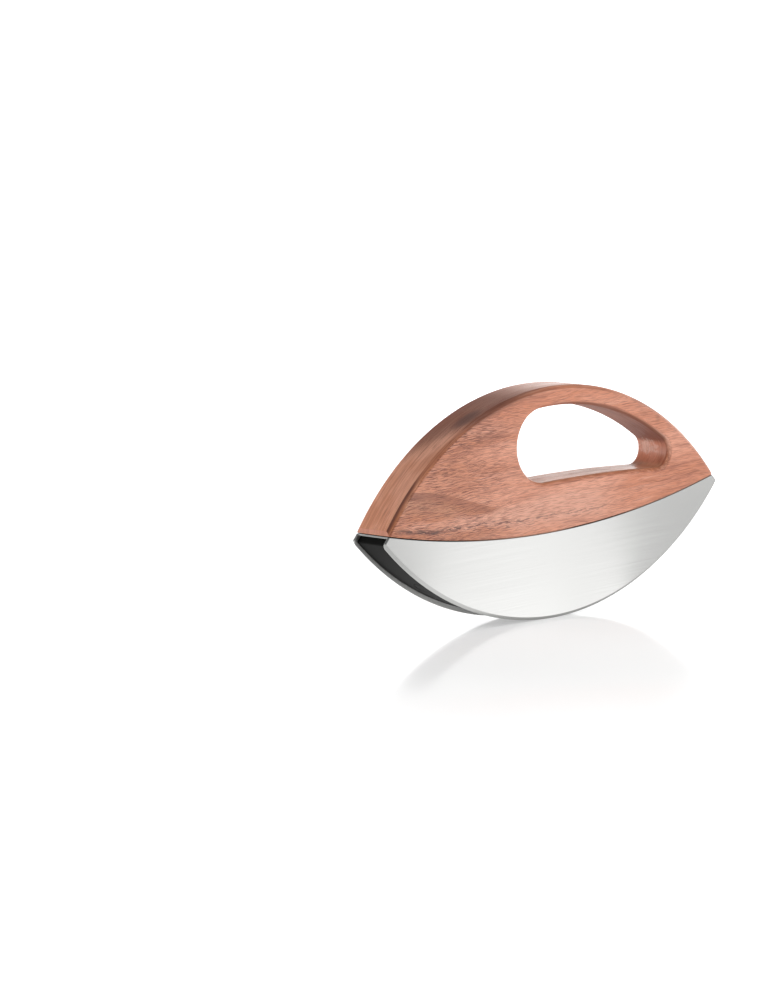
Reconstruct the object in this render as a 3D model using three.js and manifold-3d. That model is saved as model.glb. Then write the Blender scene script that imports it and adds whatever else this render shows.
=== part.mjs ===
// Double-bladed mezzaluna: two crescent blades under an arched wooden handle with a grip opening.
// Millimetres. +X runs along the blades, -Y is the front face and +Z is up.
// The origin lies under mid-length, at the height of the cutting edges' lowest point.
import * as THREE from "three";
import { mergeVertices } from "three/addons/utils/BufferGeometryUtils.js";
import Module from "manifold-3d";

const wasm = await Module();
wasm.setup();

// Overall form
const BLADE_LENGTH = 200; // tip to tip
const OVERALL_HEIGHT = 99.2; // cutting edges to the crown of the handle
const BODY_THICKNESS = 20; // across the two side faces, blades included

// Blades
const BLADE_THICKNESS = 1.3;
const BLADE_DEPTH = 37; // cutting edge to seam at mid-length
const SEAM_RADIUS = 430; // the seam under the handle, its ends curving up
const TIP_RADIUS = 2; // rounded end of each blade
const TIP_DROP = 3.4; // the round end's centre below the end of the seam
const BEVEL_WIDTH = 1.3; // ground on the outer side only
const EDGE_LAND = 0.25; // steel left at the cutting edge

// Strip between the blades
const BRIDGE_THICKNESS = 0.7;

// Handle
const SEAM_GAP = 0.4; // between wood and steel, filled by the seal
const HANDLE_SETBACK = 2.4; // blade tip to the end of the wood
const HANDLE_END_HEIGHT = 2.1; // small upright face at each end of the wood
const EDGE_ROUND = 1.9; // rounding of the outer edges and of the opening's rims

// Seal in the seam, seen as a dark line
const SEAL_CLEARANCE = 0.05; // above and below the seal
const SEAL_INSET = 0.4; // behind the side faces and the ends of the wood

// Grip opening, a wide heel towards -X and a narrow toe towards +X
const GRIP_LENGTH = 91.5;
const GRIP_OFFSET = 25; // middle of the opening, from mid-length
const GRIP_RAIL = 8.5; // wood between the opening and the crown
const GRIP_FLOOR = 21.2; // wood between the seam at mid-length and the opening's heel
const GRIP_TOE_RADIUS = 6.8;
const GRIP_FLOOR_RADIUS = 700; // slight upward arch of the opening's floor

// Core between the blades
const CORE_INSET = 2; // core underside behind the cutting edges, at mid-length
const CORE_END_INSET = 1.4; // core behind the blades' round tips and slanted ends
const CORE_SIDE_CLEARANCE = 0.15;
const CORE_TOP_CLEARANCE = 0.1;
const CORE_WALL = 2.4; // floor and sides of the moulding
const CORE_END_BLOCK = 16; // solid length at each tip
const RIB_THICKNESS = 2;

// Screws that clamp core and bridge strip to the handle
const SCREW_COUNT = 4;
const SCREW_END_DISTANCE = 29.5; // outer screws, from the blade tips
const SHANK_RADIUS = 2;
const SHANK_CLEARANCE = 0.25;
const SHANK_CHAMFER = 0.5;
const HEAD_RADIUS = 3.5;
const HEAD_HEIGHT = 3;
const HEAD_CLEARANCE = 0.4;
const SOCKET_RADIUS = 1.6; // hexagon socket, to its corners
const SOCKET_SIDES = 6;
const SOCKET_DEPTH = 1.6;
const BOSS_WALL = 2; // core material around a counterbore
const THREAD_ENGAGEMENT = 7.5;
const SCREW_TIP_CLEARANCE = 1; // above the screw, in the wood

// Threaded inserts in the handle
const INSERT_RADIUS = 3.1; // over the barbs
const INSERT_LENGTH = 9;
const INSERT_RECESS = 1; // behind the handle's underside
const INSERT_CLEARANCE = 0.2; // around the insert, and above it in its hole
const THREAD_CLEARANCE = 0.2;
const BARB_COUNT = 4;
const BARB_DEPTH = 0.35;

// Plugs that close the counterbores
const PLUG_DEPTH = 6; // on the screw's axis
const PLUG_HEAD_GAP = 1; // between a plug and the screw head behind it
const PLUG_CLEARANCE = 0.2;

// Smoothness of the faceted curves
const CHORD_ERROR = 0.03;
const ROUND_SIDES = 24;
const EDGE_ROUND_STEPS = 4;

// Extra reach of a cutting solid past the face that it cuts
const OVERCUT = 2;

// Points closer than this are one point
const MERGE_DISTANCE = 1e-4;

const square = (value) => value * value;

// Common centre of the arcs along the seam, and the height of such an arc at a given x
const seamCentre = new THREE.Vector2(0, BLADE_DEPTH + SEAM_RADIUS);
const seamHeight = (radius, x) => seamCentre.y - Math.sqrt(square(radius) - square(x));

// Wood, strip and the blades' upper edges all end at the same place
const handleHalf = BLADE_LENGTH / 2 - HANDLE_SETBACK;
const seamEnd = new THREE.Vector2(handleHalf, seamHeight(SEAM_RADIUS, handleHalf));

// The cutting edge is the arc that runs under mid-length and into both round tips
const tip = new THREE.Vector2(BLADE_LENGTH / 2 - TIP_RADIUS, seamEnd.y - TIP_DROP);
const edgeRadius = (tip.lengthSq() - square(TIP_RADIUS)) / (2 * (tip.y - TIP_RADIUS));
const edgeCentre = new THREE.Vector2(0, edgeRadius);

// Radii about the seam's centre, from the wood down to the core
const handleSeamRadius = SEAM_RADIUS - SEAM_GAP;
const bridgeUnderRadius = SEAM_RADIUS + BRIDGE_THICKNESS;
const coreTopRadius = bridgeUnderRadius + CORE_TOP_CLEARANCE;

// The core's underside is an arc of its own, which runs into round tips about the blades' tip centres
const coreTipRadius = TIP_RADIUS - CORE_END_INSET;
const coreTipRise = CORE_INSET + coreTipRadius;
const coreCentre = new THREE.Vector2(0, (tip.lengthSq() - square(coreTipRise)) / (2 * (tip.y - coreTipRise)));
const coreRadius = coreCentre.y - CORE_INSET;

// Direction in which the blades' slanted ends face
const slantAngle = angleTo(tip, seamEnd) - Math.acos(TIP_RADIUS / tip.distanceTo(seamEnd));

// Crown of the handle: an arc through its top and the tops of its two end faces
const handleEndTop = seamHeight(handleSeamRadius, handleHalf) + HANDLE_END_HEIGHT;
const crownRise = OVERALL_HEIGHT - handleEndTop;
const crownRadius = (square(handleHalf) + square(crownRise)) / (2 * crownRise);
const crownCentre = new THREE.Vector2(0, OVERALL_HEIGHT - crownRadius);

// Widths across the body
const innerFace = BODY_THICKNESS / 2 - BLADE_THICKNESS;
const coreHalfWidth = innerFace - CORE_SIDE_CLEARANCE;

const screwSpacing = (BLADE_LENGTH - 2 * SCREW_END_DISTANCE) / (SCREW_COUNT - 1);
const counterboreRadius = HEAD_RADIUS + HEAD_CLEARANCE;
const shankHoleRadius = SHANK_RADIUS + SHANK_CLEARANCE;

// Closed geometry to solid, and back
function solidOf(geometry) {
  const bare = geometry.clone();
  bare.deleteAttribute("normal");
  bare.deleteAttribute("uv");
  const merged = mergeVertices(bare, MERGE_DISTANCE);
  const vertProperties = merged.getAttribute("position").array;
  const triVerts = new Uint32Array(merged.index.array);
  return new wasm.Manifold(new wasm.Mesh({ numProp: 3, vertProperties, triVerts }));
}

function geometryOf(solid) {
  const { vertProperties, triVerts } = solid.getMesh();
  const indexed = new THREE.BufferGeometry();
  indexed.setAttribute("position", new THREE.BufferAttribute(vertProperties, 3));
  indexed.setIndex(new THREE.BufferAttribute(triVerts, 1));
  const geometry = indexed.toNonIndexed();
  geometry.computeVertexNormals();
  return geometry;
}

// Points of an arc from one angle to another, with one at its middle, that keep to the chord error
function arc(centre, radius, from, to) {
  const step = 2 * Math.acos(1 - CHORD_ERROR / radius);
  const count = 2 * Math.ceil(Math.abs(to - from) / (2 * step));
  const curve = new THREE.EllipseCurve(centre.x, centre.y, radius, radius, from, to, to < from);
  return curve.getPoints(count);
}

// A closed outline from arcs in turn, with a straight line where one doesn't start at the other's end
function closedOutline(...arcs) {
  const points = arcs.flat();
  const follower = (index) => points[(index + 1) % points.length];
  return points.filter((point, index) => point.distanceTo(follower(index)) > MERGE_DISTANCE);
}

function angleTo(from, to) {
  return Math.atan2(to.y - from.y, to.x - from.x);
}

// A profile drawn in X and Z becomes a geometry that reaches across Y
function acrossY(geometry, far) {
  return geometry.rotateX(Math.PI / 2).translate(0, far, 0);
}

function slab(outline, near, far) {
  const settings = { depth: far - near, bevelEnabled: false };
  return acrossY(new THREE.ExtrudeGeometry(new THREE.Shape(outline), settings), far);
}

// An upright round rod or a block, given by its place and its lower and upper end
function rod(radius, x, low, high, sides = ROUND_SIDES) {
  const geometry = new THREE.CylinderGeometry(radius, radius, high - low, sides);
  return geometry.rotateX(Math.PI / 2).translate(x, 0, (low + high) / 2);
}

function block(x, lengthX, widthY, low, high) {
  const geometry = new THREE.BoxGeometry(lengthX, widthY, high - low);
  return geometry.translate(x, 0, (low + high) / 2);
}

// Blade: cutting edge, round tip, a short slanted end, and the seam back to the other end
function bladeOutline() {
  const otherTip = new THREE.Vector2(-tip.x, tip.y);
  const edgeAngle = angleTo(edgeCentre, tip);
  const seamAngle = angleTo(seamCentre, seamEnd);
  return closedOutline(
    arc(edgeCentre, edgeRadius, -Math.PI - edgeAngle, edgeAngle),
    arc(tip, TIP_RADIUS, edgeAngle, slantAngle),
    arc(seamCentre, SEAM_RADIUS, seamAngle, -Math.PI - seamAngle),
    arc(otherTip, TIP_RADIUS, Math.PI - slantAngle, Math.PI - edgeAngle),
  );
}

// Core: an arc behind the cutting edge, round tip, an end parallel to the blades', and an arc under the strip
function coreOutline() {
  const otherTip = new THREE.Vector2(-tip.x, tip.y);
  const outward = new THREE.Vector2(Math.cos(slantAngle), Math.sin(slantAngle));
  const upward = new THREE.Vector2(-outward.y, outward.x);
  const endLow = tip.clone().addScaledVector(outward, coreTipRadius);

  // The end rises until it meets the arc under the strip
  const offset = endLow.clone().sub(seamCentre);
  const climb = -offset.dot(upward);
  const endHeight = climb - Math.sqrt(square(climb) - offset.lengthSq() + square(coreTopRadius));
  const endTop = endLow.clone().addScaledVector(upward, endHeight);

  const edgeAngle = angleTo(coreCentre, tip);
  const topAngle = angleTo(seamCentre, endTop);
  return closedOutline(
    arc(coreCentre, coreRadius, -Math.PI - edgeAngle, edgeAngle),
    arc(tip, coreTipRadius, edgeAngle, slantAngle),
    arc(seamCentre, coreTopRadius, topAngle, -Math.PI - topAngle),
    arc(otherTip, coreTipRadius, Math.PI - slantAngle, Math.PI - edgeAngle),
  );
}

// Grip opening: a top arc that follows the crown, a round heel and toe, and an arched floor
function gripOutline() {
  const topRadius = crownRadius - GRIP_RAIL;
  const heelEnd = GRIP_OFFSET - GRIP_LENGTH / 2;
  const toeEnd = GRIP_OFFSET + GRIP_LENGTH / 2;
  const floor = seamHeight(handleSeamRadius, 0) + GRIP_FLOOR;

  // The heel touches the top arc, the floor's height and the opening's end
  const floorRise = floor - crownCentre.y;
  const half = heelEnd + floorRise + topRadius;
  const heelRadius = Math.sqrt(square(half) + square(topRadius) - square(heelEnd) - square(floorRise)) - half;
  const heel = new THREE.Vector2(heelEnd + heelRadius, floor + heelRadius);

  // The toe touches the top arc and the opening's other end
  const toeX = toeEnd - GRIP_TOE_RADIUS;
  const toeRise = Math.sqrt(square(topRadius - GRIP_TOE_RADIUS) - square(toeX));
  const toe = new THREE.Vector2(toeX, crownCentre.y + toeRise);

  // The floor's arc touches heel and toe from below
  const heelReach = GRIP_FLOOR_RADIUS + heelRadius;
  const toeReach = GRIP_FLOOR_RADIUS + GRIP_TOE_RADIUS;
  const span = heel.distanceTo(toe);
  const along = (square(heelReach) - square(toeReach) + square(span)) / (2 * span);
  const below = Math.sqrt(square(heelReach) - square(along));
  const forward = toe.clone().sub(heel).divideScalar(span);
  const downward = new THREE.Vector2(forward.y, -forward.x);
  const floorCentre = heel.clone().addScaledVector(forward, along).addScaledVector(downward, below);

  const toeTop = angleTo(crownCentre, toe);
  const heelTop = angleTo(crownCentre, heel);
  return closedOutline(
    arc(crownCentre, topRadius, toeTop, heelTop),
    arc(heel, heelRadius, heelTop, 2 * Math.PI + angleTo(heel, floorCentre)),
    arc(floorCentre, GRIP_FLOOR_RADIUS, angleTo(floorCentre, heel), angleTo(floorCentre, toe)),
    arc(toe, GRIP_TOE_RADIUS, angleTo(toe, floorCentre), toeTop),
  );
}

// Places of the screws, each with the heights of what it passes through
function screwPlaces() {
  const first = SCREW_END_DISTANCE - BLADE_LENGTH / 2;
  return Array.from({ length: SCREW_COUNT }, (_, index) => {
    const x = first + index * screwSpacing;
    const coreLow = coreCentre.y - Math.sqrt(square(coreRadius) - square(x));
    const seat = coreLow + PLUG_DEPTH + PLUG_HEAD_GAP + HEAD_HEIGHT;
    const insertLow = seamHeight(handleSeamRadius, x) + INSERT_RECESS;
    const screwTop = insertLow + THREAD_ENGAGEMENT;
    return { number: index + 1, x, coreLow, seat, insertLow, screwTop };
  });
}

const screws = screwPlaces();

// The handle is a rounded blank of the crown's arc, cut off along the seam and at both ends
function handleGeometry() {
  const blankLow = BLADE_DEPTH - 2 * EDGE_ROUND;
  const lowAngle = Math.asin((blankLow - crownCentre.y) / crownRadius);
  const shape = new THREE.Shape(arc(crownCentre, crownRadius, lowAngle, Math.PI - lowAngle));
  shape.holes.push(new THREE.Path(gripOutline()));
  const blank = new THREE.ExtrudeGeometry(shape, {
    depth: BODY_THICKNESS - 2 * EDGE_ROUND,
    bevelThickness: EDGE_ROUND,
    bevelSize: EDGE_ROUND,
    bevelOffset: -EDGE_ROUND,
    bevelSegments: EDGE_ROUND_STEPS,
  });
  acrossY(blank, BODY_THICKNESS / 2 - EDGE_ROUND);

  const endAngle = Math.asin(handleHalf / handleSeamRadius);
  const underside = arc(seamCentre, handleSeamRadius, -Math.PI / 2 - endAngle, -Math.PI / 2 + endAngle);
  const above = OVERALL_HEIGHT + OVERCUT;
  const kept = [...underside, new THREE.Vector2(handleHalf, above), new THREE.Vector2(-handleHalf, above)];
  const keptReach = BODY_THICKNESS / 2 + OVERCUT;
  let solid = solidOf(blank).intersect(solidOf(slab(kept, -keptReach, keptReach)));

  for (const { x, insertLow, screwTop } of screws) {
    const top = insertLow + INSERT_LENGTH + INSERT_CLEARANCE;
    const hole = rod(INSERT_RADIUS + INSERT_CLEARANCE, x, insertLow - INSERT_RECESS - OVERCUT, top);
    const pilot = rod(shankHoleRadius, x, insertLow, screwTop + SCREW_TIP_CLEARANCE);
    solid = solid.subtract(solidOf(hole)).subtract(solidOf(pilot));
  }
  return geometryOf(solid);
}

// A blade at the front face, its outer side ground to the cutting edge by a conical cut
function bladeGeometry() {
  const outer = -BODY_THICKNESS / 2;
  const sheet = slab(bladeOutline(), outer, -innerFace);
  const slope = (BLADE_THICKNESS - EDGE_LAND) / BEVEL_WIDTH;
  const inside = edgeRadius - BEVEL_WIDTH - OVERCUT;
  const outside = edgeRadius + OVERCUT;
  const low = outer - slope * OVERCUT;
  const high = outer + slope * (BEVEL_WIDTH + OVERCUT);
  const profile = [
    new THREE.Vector2(outside, low),
    new THREE.Vector2(outside, high),
    new THREE.Vector2(inside, low),
    new THREE.Vector2(outside, low),
  ];
  const sides = 2 * Math.ceil(Math.PI / (2 * Math.acos(1 - CHORD_ERROR / edgeRadius)));
  const grinding = new THREE.LatheGeometry(profile, sides).translate(0, 0, edgeCentre.y);
  return geometryOf(solidOf(sheet).subtract(solidOf(grinding)));
}

// A strip that follows the seam, with holes for the screws
function stripGeometry(topRadius, underRadius, halfLength, halfWidth) {
  const endAngle = Math.asin(halfLength / topRadius);
  const from = -Math.PI / 2 - endAngle;
  const to = -Math.PI / 2 + endAngle;
  const outline = [...arc(seamCentre, underRadius, from, to), ...arc(seamCentre, topRadius, to, from)];
  let solid = solidOf(slab(outline, -halfWidth, halfWidth));
  for (const { x } of screws) {
    const low = seamHeight(underRadius, x) - OVERCUT;
    const high = seamHeight(topRadius, x) + OVERCUT;
    solid = solid.subtract(solidOf(rod(shankHoleRadius, x, low, high)));
  }
  return geometryOf(solid);
}

// The bridge strip lies between the blades, and ends with the wood above it
function bridgeGeometry() {
  return stripGeometry(SEAM_RADIUS, bridgeUnderRadius, handleHalf, innerFace);
}

// The seal lies on the bridge strip and on the blades' upper edges
function sealGeometry() {
  const topRadius = handleSeamRadius + SEAL_CLEARANCE;
  const underRadius = SEAM_RADIUS - SEAL_CLEARANCE;
  return stripGeometry(topRadius, underRadius, handleHalf - SEAL_INSET, BODY_THICKNESS / 2 - SEAL_INSET);
}

function coreEnvelope() {
  return solidOf(slab(coreOutline(), -coreHalfWidth, coreHalfWidth));
}

// The core is a moulding that is open towards the strip, with a block at each screw and ribs between
function coreGeometry() {
  const pocketHalf = BLADE_LENGTH / 2 - CORE_INSET - CORE_END_BLOCK;
  const pocketAngle = Math.asin(pocketHalf / (coreRadius - CORE_WALL));
  const from = -Math.PI / 2 - pocketAngle;
  const to = -Math.PI / 2 + pocketAngle;
  const above = seamHeight(coreTopRadius, pocketHalf) + OVERCUT;
  const outline = [
    ...arc(coreCentre, coreRadius - CORE_WALL, from, to),
    new THREE.Vector2(pocketHalf, above),
    new THREE.Vector2(-pocketHalf, above),
  ];
  const pocketWidth = 2 * (coreHalfWidth - CORE_WALL);
  let pockets = solidOf(slab(outline, -pocketWidth / 2, pocketWidth / 2));

  const bossLength = 2 * (counterboreRadius + BOSS_WALL);
  for (const { x } of screws) {
    pockets = pockets.subtract(solidOf(block(x, bossLength, BODY_THICKNESS, -OVERCUT, above + OVERCUT)));
  }
  for (const { x } of screws.slice(1)) {
    const rib = block(x - screwSpacing / 2, RIB_THICKNESS, BODY_THICKNESS, -OVERCUT, above + OVERCUT);
    pockets = pockets.subtract(solidOf(rib));
  }

  let solid = coreEnvelope().subtract(pockets);
  for (const { x, seat } of screws) {
    solid = solid.subtract(solidOf(rod(counterboreRadius, x, -OVERCUT, seat)));
    solid = solid.subtract(solidOf(rod(shankHoleRadius, x, seat - OVERCUT, above)));
  }
  return geometryOf(solid);
}

// A cap screw standing on its head: the seat under the head lies at height 0
function screwGeometry({ seat, screwTop }) {
  const length = screwTop - seat;
  const profile = [
    new THREE.Vector2(0, -HEAD_HEIGHT),
    new THREE.Vector2(HEAD_RADIUS, -HEAD_HEIGHT),
    new THREE.Vector2(HEAD_RADIUS, 0),
    new THREE.Vector2(SHANK_RADIUS, 0),
    new THREE.Vector2(SHANK_RADIUS, length - SHANK_CHAMFER),
    new THREE.Vector2(SHANK_RADIUS - SHANK_CHAMFER, length),
    new THREE.Vector2(0, length),
  ];
  const turned = new THREE.LatheGeometry(profile, ROUND_SIDES).rotateX(Math.PI / 2);
  const socket = rod(SOCKET_RADIUS, 0, -HEAD_HEIGHT - OVERCUT, SOCKET_DEPTH - HEAD_HEIGHT, SOCKET_SIDES);
  return geometryOf(solidOf(turned).subtract(solidOf(socket)));
}

// A brass sleeve with barbs around it: its lower end lies at height 0
function insertGeometry() {
  const bore = SHANK_RADIUS + THREAD_CLEARANCE;
  const pitch = INSERT_LENGTH / BARB_COUNT;
  const barbs = Array.from({ length: BARB_COUNT }, (_, index) => [
    new THREE.Vector2(INSERT_RADIUS, index * pitch),
    new THREE.Vector2(INSERT_RADIUS - BARB_DEPTH, (index + 1) * pitch),
  ]);
  const profile = [
    new THREE.Vector2(bore, 0),
    ...barbs.flat(),
    new THREE.Vector2(bore, INSERT_LENGTH),
    new THREE.Vector2(bore, 0),
  ];
  return new THREE.LatheGeometry(profile, ROUND_SIDES).rotateX(Math.PI / 2);
}

// A plug in a counterbore, its lower face cut flush with the core's underside
function plugGeometry({ x, coreLow }) {
  const radius = counterboreRadius - PLUG_CLEARANCE;
  const column = solidOf(rod(radius, x, -OVERCUT, coreLow + PLUG_DEPTH));
  return geometryOf(column.intersect(coreEnvelope())).translate(-x, 0, -coreLow);
}

const wood = new THREE.MeshStandardMaterial({ color: 0xb87b5e, roughness: 0.45, metalness: 0 });
const steel = new THREE.MeshStandardMaterial({ color: 0xd2d3d2, roughness: 0.32, metalness: 1 });
const blackPlastic = new THREE.MeshStandardMaterial({ color: 0x2d2d2b, roughness: 0.5, metalness: 0 });
const blackRubber = new THREE.MeshStandardMaterial({ color: 0x1c1c1b, roughness: 0.75, metalness: 0 });
const brass = new THREE.MeshStandardMaterial({ color: 0xc4a053, roughness: 0.35, metalness: 1 });
const screwSteel = new THREE.MeshStandardMaterial({ color: 0xa9abad, roughness: 0.4, metalness: 1 });

function piece(name, geometry, material) {
  const mesh = new THREE.Mesh(geometry, material.clone());
  mesh.name = name;
  return mesh;
}

const handleUnit = new THREE.Group();
handleUnit.add(piece("handle", handleGeometry(), wood), piece("seam_seal", sealGeometry(), blackRubber));

const bladeUnit = new THREE.Group();
const bladeFront = piece("blade_front", bladeGeometry(), steel);
const bladeRear = piece("blade_rear", bladeGeometry(), steel);
bladeRear.rotation.z = Math.PI;
bladeUnit.add(bladeFront, bladeRear, piece("bridge_strip", bridgeGeometry(), steel));

const coreUnit = new THREE.Group();
coreUnit.add(piece("blade_core", coreGeometry(), blackPlastic));

for (const place of screws) {
  const insert = piece(`threaded_insert_${place.number}`, insertGeometry(), brass);
  insert.position.set(place.x, 0, place.insertLow);
  handleUnit.add(insert);

  const screw = piece(`screw_${place.number}`, screwGeometry(place), screwSteel);
  screw.position.set(place.x, 0, place.seat);
  const plug = piece(`screw_plug_${place.number}`, plugGeometry(place), blackPlastic);
  plug.position.set(place.x, 0, place.coreLow);
  coreUnit.add(screw, plug);
}

const mezzaluna = new THREE.Group();
mezzaluna.add(handleUnit, bladeUnit, coreUnit);

export default mezzaluna;
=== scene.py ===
import math

import bmesh
import bpy
from mathutils import Matrix, Vector


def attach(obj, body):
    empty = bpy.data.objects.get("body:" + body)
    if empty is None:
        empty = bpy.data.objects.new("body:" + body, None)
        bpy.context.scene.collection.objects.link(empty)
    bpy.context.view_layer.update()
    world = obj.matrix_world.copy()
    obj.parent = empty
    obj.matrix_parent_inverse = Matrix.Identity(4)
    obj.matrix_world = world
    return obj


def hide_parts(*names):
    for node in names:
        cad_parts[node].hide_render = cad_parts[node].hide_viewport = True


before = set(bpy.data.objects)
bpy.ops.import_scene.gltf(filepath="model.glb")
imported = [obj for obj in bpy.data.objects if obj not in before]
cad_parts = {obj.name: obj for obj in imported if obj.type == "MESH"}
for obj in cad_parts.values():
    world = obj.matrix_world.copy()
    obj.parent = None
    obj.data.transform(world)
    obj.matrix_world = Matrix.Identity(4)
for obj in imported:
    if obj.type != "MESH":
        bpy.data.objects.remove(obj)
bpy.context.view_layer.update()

# Lengths are in millimetres and turn into metres where Blender takes them
MM = 0.001

# Overall form, as in the part's source
BLADE_LENGTH = 200
OVERALL_HEIGHT = 99.2
HALF_BODY = 10

# Blades and the seam under the handle
BLADE_THICKNESS = 1.3
BLADE_DEPTH = 37
SEAM_RADIUS = 430
TIP_RADIUS = 2
TIP_DROP = 3.4
BEVEL_WIDTH = 1.3
EDGE_LAND = 0.25
BRIDGE_THICKNESS = 0.7

# Handle and its grip opening
SEAM_GAP = 0.4
SEAL_CLEARANCE = 0.05
SEAL_INSET = 0.4
HANDLE_SETBACK = 2.4
HANDLE_END_HEIGHT = 2.1
EDGE_ROUND = 1.9
GRIP_LENGTH = 91.5
GRIP_OFFSET = 25
GRIP_RAIL = 8.5
GRIP_FLOOR = 21.2
GRIP_TOE_RADIUS = 6.8
GRIP_FLOOR_RADIUS = 700

# Core between the blades
CORE_INSET = 2
CORE_END_INSET = 1.4
CORE_SIDE_CLEARANCE = 0.15
CORE_TOP_CLEARANCE = 0.1
CORE_WALL = 2.4
CORE_END_BLOCK = 16
RIB_THICKNESS = 2

# Screws, inserts and plugs
SCREW_COUNT = 4
SCREW_END_DISTANCE = 29.5
SHANK_HOLE_RADIUS = 2.25
HEAD_HEIGHT = 3
COUNTERBORE_RADIUS = 3.9
BOSS_LENGTH = 11.8
THREAD_ENGAGEMENT = 7.5
SCREW_TIP_CLEARANCE = 1
INSERT_HOLE_RADIUS = 3.3
INSERT_HOLE_LENGTH = 9.2
INSERT_RECESS = 1
PLUG_DEPTH = 6
PLUG_HEAD_GAP = 1
PLUG_RADIUS = 3.7

# Fine finish that only the looks have
WOOD_ARRIS = 0.25
STEEL_ARRIS = 0.2
PLUG_ARRIS = 0.3
ARRIS_STEPS = 2
PLUG_ARRIS_STEPS = 3
ROUND_STEPS = 8
ROUND_PROFILE = 0.37

# How finely curves are drawn, and how far a tool reaches past what it cuts
ARC_ERROR = 0.003
CROWN_SIDES = 480
SEAM_SIDES = 1080
EDGE_SIDES = 720
HOLE_SIDES = 64
STRIP_STEPS = 64
SMOOTH_ANGLE = math.radians(14)
OVERCUT = 2
GRINDING_OVERCUT = 1
WELD = 0.002
TOUCH = 0.01

# How a face's normal is judged: along a direction, roughly along it, or square to it
ALONG = 0.99
ROUGHLY_ALONG = 0.9
SQUARE = 0.1


def seam_height(radius, x):
    """Height of an arc about the seam's centre."""
    return SEAM_CENTRE.y - math.sqrt(radius ** 2 - x ** 2)


# Points of the side view are (x, height)
SEAM_CENTRE = Vector((0, BLADE_DEPTH + SEAM_RADIUS))
HANDLE_HALF = BLADE_LENGTH / 2 - HANDLE_SETBACK
SEAM_END = Vector((HANDLE_HALF, seam_height(SEAM_RADIUS, HANDLE_HALF)))
TIP = Vector((BLADE_LENGTH / 2 - TIP_RADIUS, SEAM_END.y - TIP_DROP))
EDGE_RADIUS = (TIP.length_squared - TIP_RADIUS ** 2) / (2 * (TIP.y - TIP_RADIUS))
EDGE_CENTRE = Vector((0, EDGE_RADIUS))
HANDLE_SEAM_RADIUS = SEAM_RADIUS - SEAM_GAP
BRIDGE_UNDER_RADIUS = SEAM_RADIUS + BRIDGE_THICKNESS
CORE_TOP_RADIUS = BRIDGE_UNDER_RADIUS + CORE_TOP_CLEARANCE
CORE_TIP_RADIUS = TIP_RADIUS - CORE_END_INSET
CORE_TIP_RISE = CORE_INSET + CORE_TIP_RADIUS
CORE_CENTRE = Vector((0, (TIP.length_squared - CORE_TIP_RISE ** 2) / (2 * (TIP.y - CORE_TIP_RISE))))
CORE_RADIUS = CORE_CENTRE.y - CORE_INSET
TO_SEAM_END = SEAM_END - TIP
SLANT = math.atan2(TO_SEAM_END.y, TO_SEAM_END.x) - math.acos(TIP_RADIUS / TO_SEAM_END.length)
END_OUTWARD = Vector((math.cos(SLANT), math.sin(SLANT)))
END_UPWARD = Vector((-END_OUTWARD.y, END_OUTWARD.x))
INNER_FACE = HALF_BODY - BLADE_THICKNESS
CORE_HALF_WIDTH = INNER_FACE - CORE_SIDE_CLEARANCE
HANDLE_END_TOP = seam_height(HANDLE_SEAM_RADIUS, HANDLE_HALF) + HANDLE_END_HEIGHT
CROWN_RISE = OVERALL_HEIGHT - HANDLE_END_TOP
CROWN_RADIUS = (HANDLE_HALF ** 2 + CROWN_RISE ** 2) / (2 * CROWN_RISE)
CROWN_CENTRE = Vector((0, OVERALL_HEIGHT - CROWN_RADIUS))
FIRST_SCREW = SCREW_END_DISTANCE - BLADE_LENGTH / 2
SCREW_SPACING = (BLADE_LENGTH - 2 * SCREW_END_DISTANCE) / (SCREW_COUNT - 1)
SCREW_PLACES = [FIRST_SCREW + index * SCREW_SPACING for index in range(SCREW_COUNT)]


def at(x, height, y=0):
    """A place in metres, from its millimetres."""
    return Vector((x, y, height)) * MM


def mirrored(point):
    """The same point of the side view at the other end."""
    return Vector((-point.x, point.y))


def on_arc(centre, radius, towards):
    """The point of a circle that lies in the direction of another point."""
    return centre + (towards - centre).normalized() * radius


# Modelling moves

def clear_selection():
    bpy.ops.object.select_all(action="DESELECT")


def settle(name, scale=(1, 1, 1)):
    """Names the new primitive and puts its place and its scale into its mesh."""
    piece = bpy.context.active_object
    piece.name = name
    piece.data.name = name
    piece.scale = scale
    bpy.ops.object.transform_apply(location=True, rotation=True, scale=True)
    return piece


def open_for_editing(piece):
    clear_selection()
    bpy.context.view_layer.objects.active = piece
    piece.select_set(True)
    bpy.ops.object.mode_set(mode="EDIT")
    bpy.ops.mesh.select_all(action="DESELECT")


def close_editing():
    bpy.ops.object.mode_set(mode="OBJECT")


def pick_edges(piece, wanted):
    """Selects the edges for which wanted(middle in millimetres, edge) holds."""
    bpy.ops.mesh.select_mode(type="EDGE")
    mesh = bmesh.from_edit_mesh(piece.data)
    mesh.normal_update()
    for edge in mesh.edges:
        middle = (edge.verts[0].co + edge.verts[1].co) / (2 * MM)
        edge.select_set(wanted(middle, edge))
    mesh.select_flush_mode()
    bmesh.update_edit_mesh(piece.data)


def between(edge, first, second):
    """True where one face of the edge meets the first test of its normal and the other the second."""
    if len(edge.link_faces) != 2:
        return False
    one, other = (face.normal for face in edge.link_faces)
    return (first(one) and second(other)) or (first(other) and second(one))


def faces_side(normal):
    return abs(normal.y) > ALONG


def faces_down(normal):
    return normal.z < -ROUGHLY_ALONG


def is_wall(normal):
    return abs(normal.y) < SQUARE


def is_upright(normal):
    return abs(normal.z) < SQUARE


def round_off(radius, steps, profile=0.5):
    bpy.ops.mesh.bevel(
        offset_type="OFFSET",
        offset=radius * MM,
        segments=steps,
        profile=profile,
        affect="EDGES",
        clamp_overlap=False,
        loop_slide=False,
    )


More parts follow.
